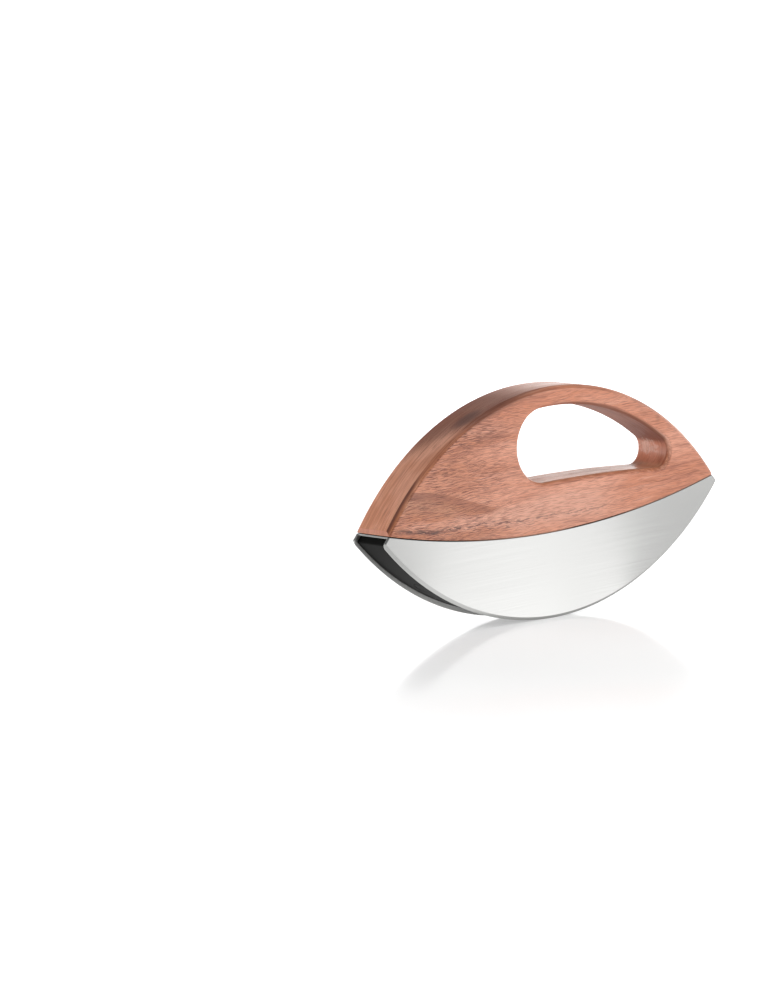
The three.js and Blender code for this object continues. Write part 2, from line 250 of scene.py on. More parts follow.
def add_bar(name, radius, x, low, high):
    """An upright round bar."""
    clear_selection()
    bpy.ops.mesh.primitive_cylinder_add(
        vertices=HOLE_SIDES,
        radius=radius * MM,
        depth=(high - low) * MM,
        location=at(x, (low + high) / 2),
    )
    return settle(name)


def add_disc(name, centre, radius, near, far, sides, far_radius=None):
    """A round plate on edge, its axis across the body; with a far radius it tapers."""
    clear_selection()
    bpy.ops.mesh.primitive_cone_add(
        vertices=sides,
        radius1=(far_radius or radius) * MM,
        radius2=radius * MM,
        depth=(far - near) * MM,
        location=at(centre.x, centre.y, (near + far) / 2),
        rotation=(math.pi / 2, 0, 0),
    )
    return settle(name)


def add_block(name, x, length, width, low, high):
    clear_selection()
    bpy.ops.mesh.primitive_cube_add(size=MM, location=at(x, (low + high) / 2))
    return settle(name, (length, width, high - low))


def line(end):
    return None, end, 0


def left_turn(centre, end):
    return centre, end, 1


def right_turn(centre, end):
    return centre, end, -1


def draw_slab(name, start, runs, near, far):
    """An outline drawn from one point through arcs and lines, filled, and pulled from near to far."""
    clear_selection()
    bpy.ops.mesh.primitive_plane_add(size=MM, location=at(start.x, start.y, near))
    piece = settle(name)
    bpy.ops.object.mode_set(mode="EDIT")
    bpy.ops.mesh.select_mode(type="VERT")
    bpy.ops.mesh.select_all(action="SELECT")
    bpy.ops.mesh.merge(type="CENTER")
    here = start
    for centre, end, direction in runs:
        if centre is None:
            step = at(end.x - here.x, end.y - here.y)
            bpy.ops.mesh.extrude_vertices_move(TRANSFORM_OT_translate={"value": step})
        else:
            sweep_to(here, centre, end, direction, near)
        here = end
    bpy.ops.mesh.select_all(action="SELECT")
    bpy.ops.mesh.remove_doubles(threshold=WELD * MM)
    bpy.ops.mesh.edge_face_add()
    depth = at(0, 0, far - near)
    bpy.ops.mesh.extrude_region_move(TRANSFORM_OT_translate={"value": depth})
    bpy.ops.mesh.select_all(action="SELECT")
    bpy.ops.mesh.normals_make_consistent(inside=False)
    close_editing()
    return piece


def sweep_to(here, centre, end, direction, y):
    """Spins the outline's last point about a centre to its end, in steps that keep to the arc."""
    from_angle = math.atan2(here.y - centre.y, here.x - centre.x)
    to_angle = math.atan2(end.y - centre.y, end.x - centre.x)
    angle = direction * ((direction * (to_angle - from_angle)) % math.tau)
    radius = (here - centre).length
    longest_step = math.sqrt(8 * radius * ARC_ERROR)
    steps = 2 * max(2, math.ceil(abs(angle) * radius / longest_step / 2))
    bpy.ops.mesh.spin(
        steps=steps,
        angle=angle,
        center=at(centre.x, centre.y, y),
        axis=(0, 1, 0),
    )


def combine(piece, tool, operation):
    """Cuts a piece with a tool, or keeps what they share; the tool is used up."""
    clear_selection()
    bpy.context.view_layer.objects.active = piece
    piece.select_set(True)
    bpy.ops.object.modifier_add(type="BOOLEAN")
    boolean = piece.modifiers[-1]
    boolean.operation = operation
    boolean.solver = "EXACT"
    boolean.object = tool
    bpy.ops.object.modifier_apply(modifier=boolean.name)
    bpy.data.objects.remove(tool)


def cut(piece, tool):
    combine(piece, tool, "DIFFERENCE")


def keep_inside(piece, tool):
    combine(piece, tool, "INTERSECT")


def saw_off(piece, point, outward):
    """Cuts a piece along a plane and takes away the side that outward points to."""
    open_for_editing(piece)
    bpy.ops.mesh.select_all(action="SELECT")
    bpy.ops.mesh.bisect(plane_co=point, plane_no=outward, use_fill=True, clear_outer=True)
    close_editing()


def smooth(piece):
    """Smooth shading on curves, with the flat faces kept flat."""
    clear_selection()
    bpy.context.view_layer.objects.active = piece
    piece.select_set(True)
    bpy.ops.object.shade_smooth_by_angle(angle=SMOOTH_ANGLE)
    bpy.ops.object.modifier_add(type="WEIGHTED_NORMAL")
    weighted = piece.modifiers[-1]
    weighted.keep_sharp = True
    bpy.ops.object.modifier_apply(modifier=weighted.name)


# Shapes

def core_low(x):
    """Height of the core's underside."""
    return CORE_CENTRE.y - math.sqrt(CORE_RADIUS ** 2 - x ** 2)


def screw_seat(x):
    return core_low(x) + PLUG_DEPTH + PLUG_HEAD_GAP + HEAD_HEIGHT


def grip_tool():
    """The grip opening as a solid: a wide heel, a narrow toe, a top along the crown and an arched floor."""
    top_radius = CROWN_RADIUS - GRIP_RAIL
    heel_end = GRIP_OFFSET - GRIP_LENGTH / 2
    toe_end = GRIP_OFFSET + GRIP_LENGTH / 2
    floor = seam_height(HANDLE_SEAM_RADIUS, 0) + GRIP_FLOOR

    floor_rise = floor - CROWN_CENTRE.y
    half = heel_end + floor_rise + top_radius
    heel_radius = math.sqrt(half ** 2 + top_radius ** 2 - heel_end ** 2 - floor_rise ** 2) - half
    heel = Vector((heel_end + heel_radius, floor + heel_radius))

    toe_x = toe_end - GRIP_TOE_RADIUS
    toe_rise = math.sqrt((top_radius - GRIP_TOE_RADIUS) ** 2 - toe_x ** 2)
    toe = Vector((toe_x, CROWN_CENTRE.y + toe_rise))

    heel_reach = GRIP_FLOOR_RADIUS + heel_radius
    toe_reach = GRIP_FLOOR_RADIUS + GRIP_TOE_RADIUS
    span = (toe - heel).length
    along = (heel_reach ** 2 - toe_reach ** 2 + span ** 2) / (2 * span)
    below = math.sqrt(heel_reach ** 2 - along ** 2)
    forward = (toe - heel) / span
    floor_centre = heel + forward * along + Vector((forward.y, -forward.x)) * below

    top_at_toe = on_arc(CROWN_CENTRE, top_radius, toe)
    runs = (
        left_turn(CROWN_CENTRE, on_arc(CROWN_CENTRE, top_radius, heel)),
        left_turn(heel, on_arc(heel, heel_radius, floor_centre)),
        right_turn(floor_centre, on_arc(toe, GRIP_TOE_RADIUS, floor_centre)),
        left_turn(toe, top_at_toe),
    )
    reach = HALF_BODY + OVERCUT
    return draw_slab("grip_tool", top_at_toe, runs, -reach, reach)


def make_handle():
    handle = add_disc("wood_handle", CROWN_CENTRE, CROWN_RADIUS, -HALF_BODY, HALF_BODY, CROWN_SIDES)
    open_for_editing(handle)
    pick_edges(handle, lambda middle, edge: between(edge, faces_side, is_wall))
    round_off(EDGE_ROUND, ROUND_STEPS, ROUND_PROFILE)
    close_editing()

    saw_off(handle, at(0, BLADE_DEPTH - OVERCUT), (0, 0, -1))
    reach = HALF_BODY + OVERCUT
    seam_tool = add_disc("seam_tool", SEAM_CENTRE, HANDLE_SEAM_RADIUS, -reach, reach, SEAM_SIDES)
    keep_inside(handle, seam_tool)
    saw_off(handle, at(HANDLE_HALF, 0), (1, 0, 0))
    saw_off(handle, at(-HANDLE_HALF, 0), (-1, 0, 0))

    cut(handle, grip_tool())
    above_ends = HANDLE_END_TOP + OVERCUT
    open_for_editing(handle)
    pick_edges(
        handle,
        lambda middle, edge: middle.z > above_ends and between(edge, faces_side, is_wall),
    )
    round_off(EDGE_ROUND, ROUND_STEPS, ROUND_PROFILE)
    pick_edges(handle, lambda middle, edge: between(edge, faces_side, faces_down))
    round_off(WOOD_ARRIS, ARRIS_STEPS)
    close_editing()

    for x in SCREW_PLACES:
        low = seam_height(HANDLE_SEAM_RADIUS, x)
        insert_low = low + INSERT_RECESS
        screw_top = insert_low + THREAD_ENGAGEMENT
        hole_top = insert_low + INSERT_HOLE_LENGTH
        cut(handle, add_bar("hole", INSERT_HOLE_RADIUS, x, low - OVERCUT, hole_top))
        cut(handle, add_bar("pilot", SHANK_HOLE_RADIUS, x, insert_low, screw_top + SCREW_TIP_CLEARANCE))
    smooth(handle)
    return handle


def make_front_blade():
    edge_end = on_arc(EDGE_CENTRE, EDGE_RADIUS, TIP)
    tip_end = TIP + END_OUTWARD * TIP_RADIUS
    runs = (
        left_turn(EDGE_CENTRE, edge_end),
        left_turn(TIP, tip_end),
        line(SEAM_END),
        right_turn(SEAM_CENTRE, mirrored(SEAM_END)),
        line(mirrored(tip_end)),
        left_turn(mirrored(TIP), mirrored(edge_end)),
    )
    blade = draw_slab("steel_blade_front", mirrored(edge_end), runs, -HALF_BODY, -INNER_FACE)

    spread = BEVEL_WIDTH / (BLADE_THICKNESS - EDGE_LAND)
    near = -HALF_BODY - GRINDING_OVERCUT
    far = -INNER_FACE + GRINDING_OVERCUT
    near_radius = EDGE_RADIUS - BEVEL_WIDTH - spread * GRINDING_OVERCUT
    far_radius = near_radius + spread * (far - near)
    grinding = add_disc("grinding", EDGE_CENTRE, near_radius, near, far, EDGE_SIDES, far_radius)
    keep_inside(blade, grinding)

    def on_front_rim(middle, edge):
        return middle.y < TOUCH - HALF_BODY and between(edge, faces_side, is_wall)

    open_for_editing(blade)
    pick_edges(blade, on_front_rim)
    round_off(STEEL_ARRIS, ARRIS_STEPS)
    close_editing()
    smooth(blade)
    return blade


def make_rear_blade(front):
    """The same blade turned round, so that its ground side faces to the rear."""
    clear_selection()
    bpy.context.view_layer.objects.active = front
    front.select_set(True)
    bpy.ops.object.duplicate(linked=False)
    bpy.ops.transform.rotate(value=math.pi, orient_axis="Z", center_override=(0, 0, 0))
    return settle("steel_blade_rear")


def make_strip(name, top_radius, under_radius, half_length, half_width):
    """A thin strip that is swept along the seam, with holes for the screws."""
    end_angle = math.asin(half_length / top_radius)
    middle = (top_radius + under_radius) / 2
    place = SEAM_CENTRE + Vector((-math.sin(end_angle), -math.cos(end_angle))) * middle
    clear_selection()
    bpy.ops.mesh.primitive_plane_add(
        size=MM,
        location=at(place.x, place.y),
        rotation=(0, math.pi / 2 + end_angle, 0),
    )
    strip = settle(name, (under_radius - top_radius, 2 * half_width, 1))
    bpy.ops.object.mode_set(mode="EDIT")
    bpy.ops.mesh.select_all(action="SELECT")
    bpy.ops.mesh.spin(
        steps=STRIP_STEPS,
        angle=2 * end_angle,
        center=at(SEAM_CENTRE.x, SEAM_CENTRE.y),
        axis=(0, 1, 0),
    )
    bpy.ops.mesh.select_all(action="SELECT")
    bpy.ops.mesh.remove_doubles(threshold=WELD * MM)
    bpy.ops.mesh.normals_make_consistent(inside=False)
    close_editing()
    for x in SCREW_PLACES:
        low = seam_height(under_radius, x)
        cut(strip, add_bar("hole", SHANK_HOLE_RADIUS, x, low - OVERCUT, low + OVERCUT))
    smooth(strip)
    return strip


def make_bridge():
    return make_strip("steel_bridge", SEAM_RADIUS, BRIDGE_UNDER_RADIUS, HANDLE_HALF, INNER_FACE)


def make_seal():
    top_radius = HANDLE_SEAM_RADIUS + SEAL_CLEARANCE
    under_radius = SEAM_RADIUS - SEAL_CLEARANCE
    return make_strip(
        "rubber_seal", top_radius, under_radius, HANDLE_HALF - SEAL_INSET, HALF_BODY - SEAL_INSET
    )


def core_outline():
    """Round tips about the blades' tip centres, ends along the blades' ends, and the arc under the strip."""
    low_end = on_arc(CORE_CENTRE, CORE_RADIUS, TIP)
    tip_end = TIP + END_OUTWARD * CORE_TIP_RADIUS
    offset = tip_end - SEAM_CENTRE
    climb = -offset.dot(END_UPWARD)
    height = climb - math.sqrt(climb ** 2 - offset.length_squared + CORE_TOP_RADIUS ** 2)
    top_end = tip_end + END_UPWARD * height
    runs = (
        left_turn(CORE_CENTRE, low_end),
        left_turn(TIP, tip_end),
        line(top_end),
        right_turn(SEAM_CENTRE, mirrored(top_end)),
        line(mirrored(tip_end)),
        left_turn(mirrored(TIP), mirrored(low_end)),
    )
    return mirrored(low_end), runs


def core_pockets():
    """The hollows of the core, left solid at the screws and at the ribs between them."""
    half = BLADE_LENGTH / 2 - CORE_INSET - CORE_END_BLOCK
    floor_radius = CORE_RADIUS - CORE_WALL
    low_end = Vector((half, CORE_CENTRE.y - math.sqrt(floor_radius ** 2 - half ** 2)))
    above = seam_height(CORE_TOP_RADIUS, half) + OVERCUT
    top_end = Vector((half, above))
    runs = (
        left_turn(CORE_CENTRE, low_end),
        line(top_end),
        line(mirrored(top_end)),
        line(mirrored(low_end)),
    )
    width = CORE_HALF_WIDTH - CORE_WALL
    pockets = draw_slab("pockets", mirrored(low_end), runs, -width, width)
    for x in SCREW_PLACES:
        cut(pockets, add_block("boss", x, BOSS_LENGTH, 2 * HALF_BODY, -OVERCUT, above + OVERCUT))
    for x in SCREW_PLACES[1:]:
        middle = x - SCREW_SPACING / 2
        cut(pockets, add_block("rib", middle, RIB_THICKNESS, 2 * HALF_BODY, -OVERCUT, above + OVERCUT))
    return pockets


def make_core():
    start, runs = core_outline()
    core = draw_slab("plastic_core", start, runs, -CORE_HALF_WIDTH, CORE_HALF_WIDTH)
    cut(core, core_pockets())
    for x in SCREW_PLACES:
        seat = screw_seat(x)
        above = seam_height(CORE_TOP_RADIUS, x) + OVERCUT
        cut(core, add_bar("counterbore", COUNTERBORE_RADIUS, x, -OVERCUT, seat))
        cut(core, add_bar("shank_hole", SHANK_HOLE_RADIUS, x, seat - OVERCUT, above))
    smooth(core)
    return core


def make_plug(number, x):
    """A plug cut flush with the core's underside, its lower rim softened."""
    low = core_low(x)
    plug = add_bar(f"plastic_plug_{number}", PLUG_RADIUS, x, low - 2 * OVERCUT, low + PLUG_DEPTH)
    outward = Vector((x, 0, low - CORE_CENTRE.y)).normalized()
    saw_off(plug, at(x, low), outward)

    def is_flush(normal):
        return normal.dot(outward) > ALONG

    open_for_editing(plug)
    pick_edges(plug, lambda middle, edge: between(edge, is_flush, is_upright))
    round_off(PLUG_ARRIS, PLUG_ARRIS_STEPS)
    close_editing()
    smooth(plug)
    return plug


handle = make_handle()
blade_front = make_front_blade()
blade_rear = make_rear_blade(blade_front)
bridge = make_bridge()
seal = make_seal()
core = make_core()
plugs = [make_plug(number, x) for number, x in enumerate(SCREW_PLACES, 1)]


# Finishes

class Wire:
    """A node's output. Arithmetic on wires adds the Math nodes for it."""

    def __init__(self, finish, socket):
        self.finish = finish
        self.socket = socket

    def __add__(self, other):
        return self.finish.math("ADD", self, other)

    def __sub__(self, other):
        return self.finish.math("SUBTRACT", self, other)

    def __rsub__(self, other):
        return self.finish.math("SUBTRACT", other, self)

    def __mul__(self, other):
        return self.finish.math("MULTIPLY", self, other)

    def __truediv__(self, other):
        return self.finish.math("DIVIDE", self, other)

    def __pow__(self, other):
        return self.finish.math("POWER", self, other)

    __radd__ = __add__
    __rmul__ = __mul__


class NodeTree:
    """A node tree and the few moves that fill it."""

    def __init__(self, owner):
        owner.use_nodes = True
        self.tree = owner.node_tree
        self.tree.nodes.clear()

    def node(self, kind, settings=None, sockets=None, output=0):
        """Adds a node: its settings first, then the values or wires of its sockets."""
        made = self.tree.nodes.new(kind)
        for name, value in (settings or {}).items():
            setattr(made, name, value)
        for name, value in (sockets or {}).items():
            if isinstance(value, Wire):
                self.tree.links.new(value.socket, made.inputs[name])
            else:
                made.inputs[name].default_value = value
        return Wire(self, made.outputs[output]) if made.outputs else made

    def math(self, operation, *terms):
        return self.node("ShaderNodeMath", {"operation": operation}, dict(enumerate(terms)))

    def ramp(self, value, low, high, start=0.0, end=1.0):
        """Goes smoothly from start to end while the value goes from low to high."""
        return self.node(
            "ShaderNodeMapRange",
            {"interpolation_type": "SMOOTHSTEP"},
            {"Value": value, "From Min": low, "From Max": high, "To Min": start, "To Max": end},
        )

    def noise(self, x, y, z, detail=0.0, roughness=0.5):
        """Noise between 0 and 1 at a point given by its three coordinates, already scaled."""
        point = self.node("ShaderNodeCombineXYZ", None, {"X": x, "Y": y, "Z": z})
        return self.node(
            "ShaderNodeTexNoise",
            {"noise_dimensions": "3D"},
            {"Vector": point, "Scale": 1.0, "Detail": detail, "Roughness": roughness},
        )

    def blend(self, factor, first, second):
        """One colour going over to another."""
        return self.node(
            "ShaderNodeMix",
            {"data_type": "RGBA"},
            {0: factor, 6: first, 7: second},
            2,
        )


class Finish(NodeTree):
    """A material on the piece's own coordinates."""

    def __init__(self, name):
        self.material = bpy.data.materials.new(name)
        super().__init__(self.material)

    def place(self):
        """The piece's own coordinates in millimetres: x, y and height."""
        coordinates = self.node("ShaderNodeTexCoord", output="Object")
        scaled = self.node(
            "ShaderNodeVectorMath",
            {"operation": "SCALE"},
            {0: coordinates, "Scale": 1 / MM},
        )
        return [self.node("ShaderNodeSeparateXYZ", None, {0: scaled}, axis) for axis in "XYZ"]

    def bump(self, height, strength, depth):
        return self.node(
            "ShaderNodeBump",
            None,
            {"Height": height, "Strength": strength, "Distance": depth * MM},
        )

    def surface(self, sockets):
        shader = self.node("ShaderNodeBsdfPrincipled", None, sockets)
        self.node("ShaderNodeOutputMaterial", None, {"Surface": shader})
        return self.material

    def upper_side(self, shader):
        """Shows a shader on the upper side of a sheet that is clear from below."""
        clear = self.node("ShaderNodeBsdfTransparent")
        below = self.node("ShaderNodeNewGeometry", output="Backfacing")
        shader = self.node("ShaderNodeMixShader", None, {0: below, 1: shader, 2: clear})
        self.node("ShaderNodeOutputMaterial", None, {"Surface": shader})
        return self.material


def colour(red, green, blue):
    return (red, green, blue, 1.0)


SALMON = colour(0.67, 0.237, 0.117)
ROSE = colour(0.83, 0.365, 0.232)
PALE = colour(0.86, 0.445, 0.320)
END_GRAIN = colour(0.80, 0.62, 0.52)
TAN = colour(0.56, 0.285, 0.165)
AMBER = colour(0.50, 0.170, 0.065)
RUSSET = colour(0.38, 0.118, 0.064)
PLUM = colour(0.150, 0.054, 0.037)
PORE = colour(0.165, 0.048, 0.029)
UMBER = colour(0.085, 0.034, 0.024)

# The wood's figure on the side faces: an arched line, a vein, a knot and a crowd of pores, as (x, height)
ARCH_HEIGHT = 52.2
ARCH_SLOPE = 0.155
ARCH_DIP = 5.74
VEIN_HEIGHT = 44.2
VEIN_MIDDLE = 5
VEIN_CURVE = 0.00055
VEIN_SLANT = 0.4
KNOT = (64.3, 77.6)
KNOT_SIZE = (1, 1)
PORE_CROWD = (-33, 88)
PORE_CROWD_SIZE = (20, 9)

# A dark spot on the crown, as (along, y), and the pale heart of the opening's toe, as (y, height)
DARK_SPOT = (-46, -4)
DARK_SPOT_SIZE = (9, 4)
TOE_HEART = (2.0, 63.5)
TOE_HEART_SIZE = (5.5, 3.2)


class OiledWood(Finish):
    """Reddish open-pored wood, its layers lying in the plane of the handle, rubbed with oil."""

    def __init__(self):
        super().__init__("oiled_wood")
        x, y, z = self.place()
        self.x, self.y, self.z = x, y, z
        normal = self.node("ShaderNodeNewGeometry", output="Normal")
        self.facing = self.node("ShaderNodeSeparateXYZ", None, {0: normal}, "Y") ** 2
        self.upward = self.node("ShaderNodeSeparateXYZ", None, {0: normal}, "Z")
        self.endward = self.node("ShaderNodeSeparateXYZ", None, {0: normal}, "X") ** 2
        self.front = 1 - self.ramp(y, -8.0, 3.0)

        # Places counted along the crown and down from it
        from_centre = z - CROWN_CENTRE.y
        self.along = self.math("ARCTAN2", x, from_centre) * CROWN_RADIUS
        self.depth = CROWN_RADIUS - self.math("SQRT", x ** 2 + from_centre ** 2)

        # The two side faces, the rounded rims, and the walls in the opening
        self.on_side = self.ramp(self.facing, 0.45, 0.90)
        self.off_side = 1 - self.on_side
        self.in_grip = self.ramp(self.depth, 3.5, 5.0)
        self.rim = self.ramp(self.facing, 0.03, 0.12) * (1 - self.ramp(self.facing, 0.76, 0.88))
        self.ceiling = self.off_side * self.in_grip * (1 - self.ramp(self.upward, -0.7, -0.3))
        self.floor = self.off_side * self.in_grip * self.ramp(self.upward, 0.75, 0.95)

        # Fibres run lengthwise and slightly wavy
        self.drift = self.noise(x * 0.022, y * 0.05, z * 0.055, 1.0)
        self.ripple = self.noise(x * 0.09, y * 0.25, z * 0.20, 1.0)
        self.fibre = z - x * 0.02 + (self.drift - 0.5) * 4 + (self.ripple - 0.5) * 0.9
        # The fibres are staggered, so that their ends don't line up
        self.stagger = self.fibre * 1.7
        side_hair = self.noise(x * 0.12 + self.stagger, y * 3.2, self.fibre * 3.0, 2.0, 0.6)
        edge_hair = self.noise(self.along * 0.03, y * 3.6, self.depth * 0.2, 3.0, 0.7) * 1.3 - 0.15
        self.hair = side_hair * self.on_side + edge_hair * self.off_side
        self.streaks = self.noise(x * 0.04, y * 0.45, z * 0.1, 2.0)

        # A dark flare on the left of the crown: darker colour, less coat and more roughness there
        start = self.along + y * 0.9 + (self.drift - 0.5) * 20 + (self.hair - 0.5) * 30
        dark_flare = self.ramp(start, -72.0, -54.0) * (1 - self.ramp(self.along, -30.0, 6.0))
        self.dark_flare = dark_flare * (1 - self.ramp(self.depth + (self.hair - 0.5) * 3, 0.8, 3.6))

    def oval(self, across, up, centre, size):
        """0 in the centre of an oval of that half size, 1 on its rim, and more outside it."""
        return ((across - centre[0]) / size[0]) ** 2 + ((up - centre[1]) / size[1]) ** 2

    def ground(self):
        """Broad tones, wide streaks and fine lines."""
        x, y = self.x, self.y
        tint = self.noise(x * 0.016, y * 0.08, self.fibre * 0.09, 2.0)
        side_bands = self.noise(x * 0.032, y * 0.7, self.fibre * 0.50, 2.0, 0.6)
        edge_bands = self.noise(self.along * 0.012, y * 0.9, self.depth * 0.10, 2.0, 0.6)
        bands = side_bands * self.on_side + edge_bands * self.off_side
        base = self.blend(self.ramp(tint, 0.36, 0.64), SALMON, ROSE)
        base = self.blend(self.ramp(x, 25.0, 80.0, 0, 0.10), base, RUSSET)
        base = self.blend(self.ramp(x, -20.0, -62.0, 0.0, 0.52) * self.on_side, base, AMBER)
        # Painted sheen: the crown's outer edge at the left end is greyed towards tan and end-grain colour
        outer_edge = self.off_side * (1 - self.in_grip)
        base = self.blend(outer_edge * self.ramp(x, -45.0, -60.0, 0, 0.30), base, TAN)
        base = self.blend(outer_edge * self.ramp(x, -45.0, -60.0, 0, 0.06), base, END_GRAIN)
        base = self.blend(self.ramp(bands, 0.50, 0.72, 0, 0.70), base, RUSSET)
        base = self.blend(self.ramp(bands, 0.46, 0.28, 0, 0.45), base, PALE)
        base = self.blend(self.ramp(self.hair, 0.52, 0.70, 0, 0.55), base, RUSSET)
        return self.blend(self.ramp(self.hair, 0.46, 0.32, 0, 0.25), base, PALE)

    def rims(self, base):
        """Orange rims, a dark line low on the left edge, painted light on the crown rim towards the right,
        and painted highlight lines beside the face and on the toe's rim.
        """
        crown_rim = self.rim * (1 - self.in_grip)
        grip_rim = self.rim * self.in_grip
        near_wall = 1 - self.ramp(self.facing, 0.45, 0.80)
        base = self.blend(grip_rim * near_wall * (0.20 + self.front * 0.28), base, AMBER)
        orange = self.ramp(self.x, -20.0, 10.0, 0.50, 0.0) * (0.4 + self.front * 0.6)
        base = self.blend(crown_rim * orange, base, AMBER)
        upper = self.ramp(self.x, -74.0, -62.0) * self.ramp(self.x, -40.0, -10.0, 0.30, 0.0)
        base = self.blend(crown_rim * upper, base, RUSSET)
        # Painted light: the crown rim is made paler towards the right, standing in for its sheen
        base = self.blend(crown_rim * self.ramp(self.x, 0.0, 25.0, 0.0, 0.15), base, PALE)
        grain = self.noise(self.along * 0.06, self.y * 1.4, self.depth, 2.0)
        base = self.blend(self.rim * self.ramp(grain, 0.46, 0.64, 0, 0.50), base, RUSSET)
        base = self.blend(self.rim * self.ramp(grain, 0.48, 0.32, 0, 0.40), base, PALE)
        beside_edge = crown_rim * (1 - self.ramp(self.facing, 0.30, 0.62)) * self.front
        base = self.blend(beside_edge * self.ramp(self.x, -84.0, -75.0, 0.88, 0.0), base, PLUM)
        toe_rim = grip_rim * self.ramp(self.x, 60.0, 67.0)
        base = self.blend(toe_rim * (1 - self.ramp(self.facing, 0.20, 0.40)) * 0.25, base, PLUM)
        # Painted highlight: a pale line on the toe's rim beside the face
        base = self.blend(toe_rim * self.ramp(self.facing, 0.30, 0.50) * 0.10, base, END_GRAIN)
        # Painted highlight: a pale line along the crown rim beside the face, where the edge catches light
        painted_edge_highlight = self.ramp(self.facing, 0.74, 0.86) * (1 - self.ramp(self.facing, 0.985, 0.999))
        painted_edge_highlight = painted_edge_highlight * (1 - self.in_grip)
        painted_edge_highlight = painted_edge_highlight * self.ramp(self.x, -72.0, -55.0) * (1 - self.ramp(self.x, 10.0, 40.0))
        return self.blend(painted_edge_highlight * 0.45, base, PALE)

    def arch(self, base):
        """An arched figure low on the front: a dark line with tan and reddish wood under it."""
        x = self.x
        above = self.z - ARCH_HEIGHT + x * ARCH_SLOPE + self.ramp(x, -72.0, -30.0, 0, ARCH_DIP)
        above = above + (self.drift - 0.5) * 2 + (self.hair - 0.5) * 1.4
        front = self.front * self.on_side
        under = self.ramp(above, -13.0, -3.0) * (1 - self.ramp(above, -0.8, 0.4)) * front
        base = self.blend(under * (1 - self.ramp(x, -66.0, -48.0)) * 0.55, base, TAN)
        fill = self.ramp(above, -7.5, -3.0) * (1 - self.ramp(above, -0.5, 0.7)) * front
        fill = fill * self.ramp(x, -88.0, -60.0) * (1 - self.ramp(x, -38.0, -6.0))
        base = self.blend(fill * 0.72, base, AMBER)
        stripe = self.ramp(above, -4.4, -1.6) * (1 - self.ramp(above, -0.4, 0.5)) * front
        base = self.blend(stripe * self.ramp(x, -60.0, -10.0, 0.55, 0.12), base, RUSSET)
        return self.blend(stripe * self.ramp(x, -84.0, -60.0, 0.30, 0.0), base, PLUM)

    def vein(self, base):
        """Ragged dark strokes above the seam, in a paler streak with redder wood below."""
        x, y = self.x, self.y
        waver = self.noise(x * 0.06, y * 0.2, self.z * 0.05, 2.0)
        above = self.z - VEIN_HEIGHT - (x - VEIN_MIDDLE) ** 2 * VEIN_CURVE - (y + HALF_BODY) * VEIN_SLANT
        above = above + (waver - 0.5) * 4 + (self.hair - 0.5) * 0.8
        run = self.ramp(x, -100.0, -86.0) * (1 - self.ramp(x, 18.0, 46.0)) * self.on_side
        middle = self.ramp(x, -45.0, -10.0, 1.8, 2.6)
        spread = self.ramp(x, -45.0, -10.0, 11.0, 75.0)
        streak = (1 - self.ramp((above - middle) ** 2, 1.0, spread)) * run
        base = self.blend(streak * self.ramp(x, -90.0, -30.0, 0.30, 0.72), base, PALE)
        below = (1 - self.ramp(above, -2.6, -1.0)) * run
        base = self.blend(below * self.ramp(x, -60.0, -20.0, 0.30, 0.05), base, AMBER)
        broken = self.noise(x * 0.16, y * 0.8, above * 1.5, 2.0, 0.6)
        broken = broken + self.ramp(x, -74.0, -54.0, 0.10, 0.0)
        strokes = self.ramp(broken, 0.50, 0.60) * (1 - self.ramp(above ** 2, 0.08, 1.6))
        flecks = self.ramp(self.noise(x * 0.22, y * 0.9, above * 2.0, 1.0), 0.58, 0.68)
        flecks = flecks * (1 - self.ramp((above + 0.6) ** 2, 1.5, 9.0))
        marks = self.math("MAXIMUM", strokes, flecks * 0.75) * run
        return self.blend(marks * self.ramp(x, -60.0, 10.0, 0.95, 0.60), base, UMBER)

    def flare(self, base):
        """The dark flare with a darker spot in it, and a small knot near the toe of the opening."""
        base = self.blend(self.dark_flare * (0.50 + self.hair * 0.40), base, PLUM)
        spot = self.oval(self.along, self.y, DARK_SPOT, DARK_SPOT_SIZE) + (self.hair - 0.5) * 3
        base = self.blend((1 - self.ramp(spot, 0.1, 1.3)) * self.off_side * 0.70, base, UMBER)
        knot = self.oval(self.x, self.z, KNOT, KNOT_SIZE) + (self.ripple - 0.5) * 8
        return self.blend((1 - self.ramp(knot, 0.2, 6.0)) * 0.35, base, UMBER)

    def grip_walls(self, base):
        """End grain in the opening's toe, painted shade on its ceiling, its streaked floor, and the handle's
        ends.
        """
        x, y, z = self.x, self.y, self.z
        wall = (1 - self.ramp(self.facing, 0.10, 0.40)) * self.in_grip
        toe = wall * self.ramp(x, 50.0, 62.0)
        shade = 1 - self.ramp(y + (self.ripple - 0.5) * 5, -6.5, -2.0) * (1 - self.ramp(z, 66.0, 70.0))
        base = self.blend(toe * 0.50, base, RUSSET)
        base = self.blend(toe * shade * 0.25, base, PLUM)
        # Painted shade on the opening's downward-facing ceiling, darker towards the toe
        base = self.blend(self.ceiling * self.ramp(x, -20.0, 20.0) * 0.74, base, PLUM)
        flecks = self.noise(x * 0.9, y * 0.55, z * 0.55, 3.0, 0.7)
        heart = self.oval(y, z, TOE_HEART, TOE_HEART_SIZE) + (flecks - 0.5) * 6
        base = self.blend(toe * (1 - self.ramp(heart, 0.1, 1.3)) * 0.28, base, END_GRAIN)
        base = self.blend(self.floor * self.ramp(x, -12.0, 8.0, 0.85, 0.60), base, TAN)
        base = self.blend(self.floor * self.ramp(self.streaks, 0.46, 0.60, 0, 0.30), base, UMBER)
        ends = self.ramp(self.endward, 0.80, 0.95) * (1 - self.in_grip)
        return self.blend(ends * 0.55, base, RUSSET)

